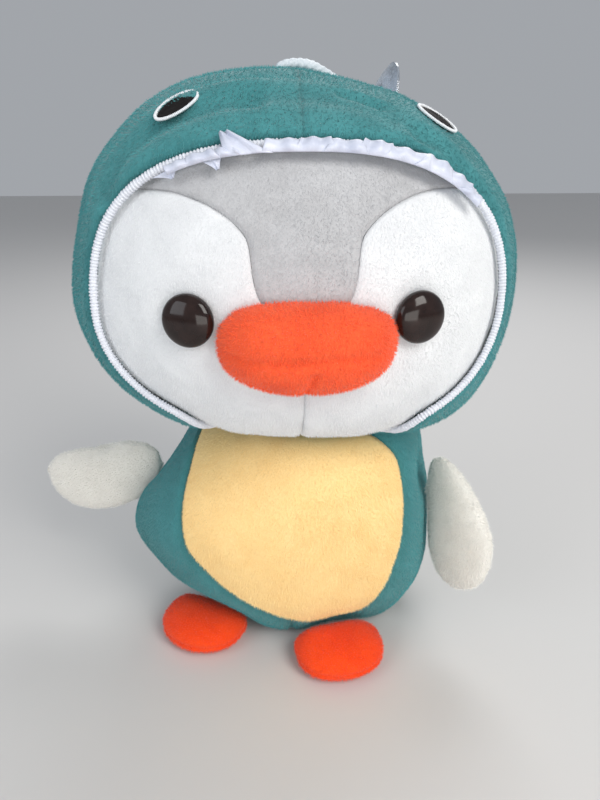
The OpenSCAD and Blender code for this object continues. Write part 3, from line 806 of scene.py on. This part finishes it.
def makeFacePanel(name, node, fabric, slot, fromBrow, start, toBrow, end, seed):
    t, s = np.meshgrid(np.linspace(0, 1, 90), np.linspace(0.08, 1.0, 80))
    low, high = fromBrow * brow(s) + start, toBrow * brow(s) + end
    th = mix(low, high, t)
    reach = s * opening(th)
    edge = np.minimum(abs(th - low), abs(high - th)) * math.pi / 180 * reach
    flat = rimPoint(th, s, 0)
    x, z = flat[..., 0], flat[..., 2]
    off = -faceLook["grooveDepth"] * groove(edge, faceLook["grooveWidth"])
    off += faceLook["puff"] * (1 - groove(edge, 14)) * (1 - s ** 4)
    for side in (-1, 1):
        away = np.hypot(x - side * faceLook["eyeX"], z - faceLook["eyeZ"])
        off -= faceLook["dimple"] * groove(np.maximum(0, away - 6), faceLook["dimpleWide"])
    off += faceLook["lump"] * (lumps(flat, 24, seed) + 0.5 * lumps(flat, 9, seed + 4))
    off += faceLook["chin"] * underChin(th) * s ** 2
    piece = gridPiece(name, rimPoint(th, s, off), cloths[fabric], inside=head["mid"])
    growPile(piece, fabric, "head", slot, seed, **facePile)
    declare(thicken(piece), "head", slot, node)


makeFacePanel("forehead", "forehead_panel", "greyPlush", "grey_plush", -1, 0, 1, 0, 21)
makeFacePanel("cheekLeft", "cheek_panel_left", "whitePlush", "white_plush", 1, 0, 0, 180, 22)
makeFacePanel("cheekRight", "cheek_panel_right", "whitePlush", "white_plush", 0, -180, -1, 0, 23)


def makeHeadBack():
    th, t = np.meshgrid(np.linspace(-180, 180, 73), np.linspace(0, 1, 40))
    piece = gridPiece("headBack", hoodAt(th, 1.15, t, 0), cloths["greyPlush"], inside=head["mid"])
    declare(thicken(piece), "head", "grey_plush", "head_back_panel", "head_stuffing")


makeHeadBack()
print("face made")

# eyes
eyeLook = dict(r=8.8, high=5.0, edge=0.9, stem=2.2, stemLong=8, rows=26, sides=72)


def makeEye(name, node, side):
    x, z = side * faceLook["eyeX"], faceLook["eyeZ"]
    n = faceNormal(np.array(float(x)), np.array(float(z)))
    e = unit(np.cross(n, (0, 0, 1)))
    f = np.cross(n, e)
    spot = faceAt(np.array(float(x)), np.array(float(z)), gap)
    a = np.linspace(0, 1, eyeLook["rows"])
    r = eyeLook["r"] * np.sin(a * math.pi / 2)
    high = mix(eyeLook["edge"], eyeLook["high"], np.cos(a * math.pi / 2) ** 0.9)
    r = np.append(r, [eyeLook["r"] - 0.05, eyeLook["r"] - 0.5, eyeLook["stem"], eyeLook["stem"], 0])
    high = np.append(high, [0.3, 0, 0, -eyeLook["stemLong"], -eyeLook["stemLong"]])
    turns = np.radians(np.linspace(0, 360, eyeLook["sides"] + 1))
    grid = (spot + high[:, None, None] * n + r[:, None, None]
            * (e * np.cos(turns)[None, :, None] + f * np.sin(turns)[None, :, None]))
    piece = gridPiece(name, grid, eyePlastic, inside=spot)
    declare(piece, "head", "eye_plastic", node)


makeEye("eyeLeft", "eye_left", 1)
makeEye("eyeRight", "eye_right", -1)
print("eyes made")

# padded pieces: a closed form, blown up as cloth, then smoothed
puffLook = dict(voxel=2.6, fineVoxel=2.2, pressure=4.0, mass=0.15, quality=5, shrink=-0.02, frames=20)


def puffUp(piece, cap, voxel=puffLook["voxel"]):  # cap is the most a point moves, in mm
    piece.modifiers.new("cut", "REMESH").mode = "VOXEL"
    piece.modifiers["cut"].voxel_size = voxel * mm
    settled(piece)
    start = np.array([v.co for v in piece.data.vertices])
    cloth = piece.modifiers.new("cloth", "CLOTH")
    cloth.settings.use_pressure = True
    cloth.settings.uniform_pressure_force = puffLook["pressure"]
    cloth.settings.effector_weights.gravity = 0
    cloth.settings.mass = puffLook["mass"]
    cloth.settings.quality = puffLook["quality"]
    cloth.settings.shrink_min = puffLook["shrink"]
    cloth.point_cache.frame_start, cloth.point_cache.frame_end = 1, puffLook["frames"]
    scene = bpy.context.scene
    for step in range(1, puffLook["frames"] + 1):
        scene.frame_set(step)
    graph = bpy.context.evaluated_depsgraph_get()
    moved = np.array([v.co for v in piece.evaluated_get(graph).data.vertices])
    piece.modifiers.clear()
    scene.frame_set(1)
    shift = moved - start
    far = np.linalg.norm(shift, axis=1)
    shift *= np.minimum(1, cap * mm / np.maximum(far, 1e-9))[:, None]
    for v, p in zip(piece.data.vertices, start + shift):
        v.co = p
    soft = piece.modifiers.new("soft", "SUBSURF")
    soft.levels = soft.render_levels = 1
    settled(piece)
    smoothFaces(piece.data)
    print(" ", piece.name, "blown up by", round(float(far.mean()) / mm, 2), "mm on average")


def reshape(piece, change):  # moves each vertex along its normal by change(points) in mm
    mesh = piece.data
    points = np.array([v.co for v in mesh.vertices]) / mm
    normals = np.array([v.normal for v in mesh.vertices])
    moved = points + normals * change(points)[:, None]
    for v, p in zip(mesh.vertices, moved):
        v.co = p * mm


# beak
beakLook = dict(a=29.5, up=15, down=17, x=0.5, z=165, out=16, shrink=0.8, cap=1.6,
                bandZ=163.5, bandDeep=1.1, dartDeep=1.9)
dartPath = [(2, -88, 158), (0.5, -85, 152.5), (-0.5, -79, 148.5), (-1, -74, 147)]


def beakAt(th, s, trim, out):
    r = s * (oval(th, beakLook["a"], beakLook["up"], beakLook["down"], 2.8, 2.3) - trim)
    p = faceAt(beakLook["x"] + r * sind(th), beakLook["z"] + r * cosd(th), gap)
    return p - xyz(0, out * np.sqrt(np.maximum(0, 1 - s ** 2.6)), 0)


def beakMarks(p):  # a pressed band across the front and a dart below
    band = groove(p[:, 2] - beakLook["bandZ"] - 0.6 * np.sin(p[:, 0] / 7), 1.8)
    band = band * np.clip(1 - (p[:, 0] / 27) ** 4, 0, 1)
    dart = groove(nearPath(p, dartPath), 1.6)
    return 0.35 * lumps(p, 9, 31) - beakLook["bandDeep"] * band - beakLook["dartDeep"] * dart


def makeBeak():
    th = np.linspace(0, 360, 97)
    trim = beakLook["shrink"]
    over, under = np.sin(np.linspace(0, 1, 26) * math.pi / 2), np.linspace(0.95, 0, 12)
    front = [beakAt(th, s, trim, beakLook["out"] - trim) for s in over]
    back = [beakAt(th, s, trim, -0.4) for s in under]
    middle = (beakLook["x"], -76, beakLook["z"])
    piece = gridPiece("beak", np.array(front + back), cloths["beakPlush"], inside=middle)
    puffUp(piece, beakLook["cap"], puffLook["fineVoxel"])
    reshape(piece, beakMarks)
    growPile(piece, "beakPlush", "head", "beak_plush", 41, height=1.3, comb=(0, 0, -0.35), stray=0.6)
    declare(piece, "head", "beak_plush", "beak_cover", "beak_stuffing")


makeBeak()
print("beak made")

# torso
torsoLook = dict(lump=0.9, seamDepth=1.4, seamWidth=2.0, wall=1.3)


def torsoLumps(p):  # the same on every panel, so that their edges meet
    soft = lumps(p, 30, 51) + 0.45 * lumps(p, 12, 54)
    return torsoLook["lump"] * soft * np.clip(p[..., 2] / 25 - 0.1, 0, 1)


def makeBack(name, node, start, end, seed):
    th, t = np.meshgrid(np.linspace(start, end, 96), np.linspace(0, 1, 100))
    edge = np.degrees(np.arccos(-bellyRay(th, 1.0)[..., 1]))
    d = ray(th, mix(edge, 180, t))
    p = torsoRay(d, 0)
    off = -torsoLook["seamDepth"] * groove(t * 130, 2.2)
    off -= torsoLook["seamDepth"] * groove(p[..., 0] - torso["mid"][0], torsoLook["seamWidth"])
    off += torsoLumps(p)
    piece = gridPiece(name, torsoRay(d, off), cloths["tealPlush"], inside=torso["mid"])
    growPile(piece, "tealPlush", "torso", "teal_plush", seed)
    declare(thicken(piece, torsoLook["wall"]), "torso", "teal_plush", node)


makeBack("backLeft", "back_panel_left", 180, 0, 52)
makeBack("backRight", "back_panel_right", 0, -180, 53)


def makeBelly():
    shares = np.concatenate([np.linspace(0, 0.9, 50), np.linspace(0.91, 1.0, 14)])
    th, s = np.meshgrid(np.linspace(0, 360, 145), shares)
    d = bellyRay(th, s)
    p = torsoRay(d, 0)
    off = 0.7 * (1 - s ** 8) - 1.6 * groove((1 - s) * 55, 1.3) + torsoLumps(p)
    piece = gridPiece("belly", torsoRay(d, off), cloths["creamPlush"], inside=torso["mid"])
    growPile(piece, "creamPlush", "torso", "cream_plush", 54)
    declare(thicken(piece), "torso", "cream_plush", "belly_panel", "body_stuffing")


makeBelly()


seatLook = dict(x=6, y=7, a=36, b=24, ground=0.1, lift=0.9)


def makeSeat():
    th, s = np.meshgrid(np.linspace(0, 360, 97), np.linspace(0, 1, 20))
    low = xyz(seatLook["x"] + seatLook["a"] * s * cosd(th), seatLook["y"] + seatLook["b"] * s * sind(th),
              seatLook["ground"] + seatLook["lift"] * s ** 8)
    piece = gridPiece("seatPatch", low, cloths["tealPlush"], inside=(seatLook["x"], seatLook["y"], 20))
    declare(thicken(piece), "torso", "teal_plush", "seat_panel")


makeSeat()
print("torso made")

# wings
wingLook = dict(long=60, wide=37, inside=5, thick=12, bow=4, shrink=0.7, cap=1.6,
                seamDepth=0.9, seamWidth=1.1)
wings = dict(
    wingLeft=dict(shoulder=1.5, root=(67.5, -11.5, 84), along=(0.15, -0.36, -0.92),
                  flat=(0.76, 0.65, 0), body="wing_left"),
    wingRight=dict(shoulder=3, root=(-70.5, 16, 77.5), along=(-0.93, 0.2, -0.27),
                   flat=(0.2, 0.97, -0.1), body="wing_right"),
)


def wingAxes(wing):
    along = unit(np.array(wing["along"], float))
    flat = np.array(wing["flat"], float)
    flat = unit(flat - along * (flat @ along))
    return along, flat, np.cross(along, flat)


def wingHalf(wing, s):  # half the wing's width at each share of its length
    near = np.clip((0.64 - s) / 0.66, 0, 1) ** wing["shoulder"]
    far = np.clip((s - 0.64) / 0.372, 0, 1) ** 2
    return wingLook["wide"] / 2 * np.sqrt(np.maximum(0, 1 - near - far))


def wingAt(wing, s, turn, trim):
    along, flat, side = wingAxes(wing)
    wide = wingHalf(wing, s)
    fall = (s - 0.55) / np.where(s < 0.55, 0.6, 0.46)
    thick = wingLook["thick"] / 2 * np.sqrt(np.maximum(0, 1 - fall ** 2))
    out = wingLook["bow"] * sind(180 * s) + np.maximum(0.6, wide - trim) * cosd(turn)
    run = mix(-wingLook["inside"], wingLook["long"], s)
    return (np.array(wing["root"], float) + along * run[..., None]
            + side * out[..., None] + flat * (np.maximum(0.6, thick - trim) * sind(turn))[..., None])


def makeWing(name, wing, seed):
    turn, a = np.meshgrid(np.linspace(0, 360, 61), np.linspace(0, 1, 60))
    s = 0.004 + 0.988 * (0.5 - 0.5 * np.cos(math.pi * a))
    grid = wingAt(wing, s, turn, wingLook["shrink"])
    ends = [np.repeat(grid[k].mean(0)[None, None], grid.shape[1], 1) for k in (0, -1)]
    piece = gridPiece(name, np.concatenate([ends[0], grid, ends[1]]), cloths["wingPlush"])
    puffUp(piece, wingLook["cap"])
    along, flat, side = wingAxes(wing)

    def marks(p):
        rest = p - np.array(wing["root"])
        share = (rest @ along + wingLook["inside"]) / (wingLook["long"] + wingLook["inside"])
        rim = (rest @ side) - wingLook["bow"] * sind(180 * np.clip(share, 0, 1))
        outer = np.clip((abs(rim) / np.maximum(wingHalf(wing, share), 1) - 0.55) / 0.2, 0, 1)
        outer = np.maximum(outer, np.clip((share - 0.9) / 0.05, 0, 1))
        seam = groove(rest @ flat, wingLook["seamWidth"]) * outer
        return 0.4 * lumps(p, 12, seed) - wingLook["seamDepth"] * seam

    reshape(piece, marks)
    growPile(piece, "wingPlush", wing["body"], "wing_plush", seed, comb=tuple(0.6 * along))
    nodes = [wing["body"] + end for end in ("_front", "_back", "_stuffing")]
    declare(piece, wing["body"], "wing_plush", *nodes)


makeWing("wingLeft", wings["wingLeft"], 61)
makeWing("wingRight", wings["wingRight"], 62)
print("wings made")

# feet
footLook = dict(a=21.5, back=13, front=18, high=15.6, seam=5.5, shrink=0.6, cap=1.2,
                grooveZ=6.0, grooveDepth=1.0, grooveWidth=1.1)
feet = dict(footLeft=dict(at=(18.5, -42), turn=10, body="foot_left"),
            footRight=dict(at=(-46, -21), turn=-27, body="foot_right"))


def makeFoot(name, foot, seed):
    def placed(x, y, z):
        c, s = cosd(foot["turn"]), sind(foot["turn"])
        return xyz(foot["at"][0] + c * x - s * y, foot["at"][1] + s * x + c * y, z)

    def outline(th, trim):  # straighter behind, round in front
        return oval(th, footLook["a"] - trim, footLook["back"] - trim, footLook["front"] - trim, 4, 2.1)

    th = np.linspace(0, 360, 97)
    rows = []
    trim = footLook["shrink"]
    radius = outline(th, trim)
    for high, steps in ((footLook["high"] - footLook["seam"] - trim, np.linspace(0, 1, 24)),
                        (trim - footLook["seam"], np.linspace(1, 0, 20)[1:])):
        for s in np.sin(steps * math.pi / 2):
            r = s * radius
            lift = high * max(0, 1 - s ** 3) ** 0.6
            rows.append(placed(r * sind(th), r * cosd(th), footLook["seam"] + lift))
    piece = gridPiece(name, np.array(rows), cloths["footPlush"], inside=(*foot["at"], 6))
    puffUp(piece, footLook["cap"], puffLook["fineVoxel"])

    def marks(p):
        d = p - np.array([*foot["at"], 0])
        c, s = cosd(foot["turn"]), sind(foot["turn"])
        x, y = c * d[:, 0] + s * d[:, 1], c * d[:, 1] - s * d[:, 0]
        out = np.hypot(x, y) / outline(np.degrees(np.arctan2(x, y)), 0)
        edge = np.clip((out - 0.75) / 0.15, 0, 1)
        seam = groove(p[:, 2] - footLook["grooveZ"], footLook["grooveWidth"]) * edge
        return 0.35 * lumps(p, 10, seed) - footLook["grooveDepth"] * seam

    reshape(piece, marks)
    for v in piece.data.vertices:
        v.co.z = max(v.co.z, 0.0002)
    growPile(piece, "footPlush", foot["body"], "foot_plush", seed, density=2.4,
             comb=(0, -0.4, -0.1), stray=0.5)
    nodes = [foot["body"] + end for end in ("_top", "_sole", "_stuffing")]
    declare(piece, foot["body"], "foot_plush", *nodes)


makeFoot("footLeft", feet["footLeft"], 71)
makeFoot("footRight", feet["footRight"], 72)
print("feet made")


def paintNodes():  # pieces whose frame shape stays
    for node, material in (("suction_cup", clear), ("care_label", labelTape),
                           ("eye_washer_left", washer), ("eye_washer_right", washer)):
        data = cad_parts[node].data
        data.materials.clear()
        data.materials.append(material)


paintNodes()


def makeFloor():
    paint = newMaterial("floorPaint", {"Base Color": rgba(studio["floor"]), "Roughness": 0.7})
    corners = np.array([(-1, -1, 0), (1, -1, 0), (1, 1, 0), (-1, 1, 0)]) * float(studio["floorHalf"])
    floor = newMesh("floor", corners, [(0, 1, 2, 3)], paint)


makeFloor()
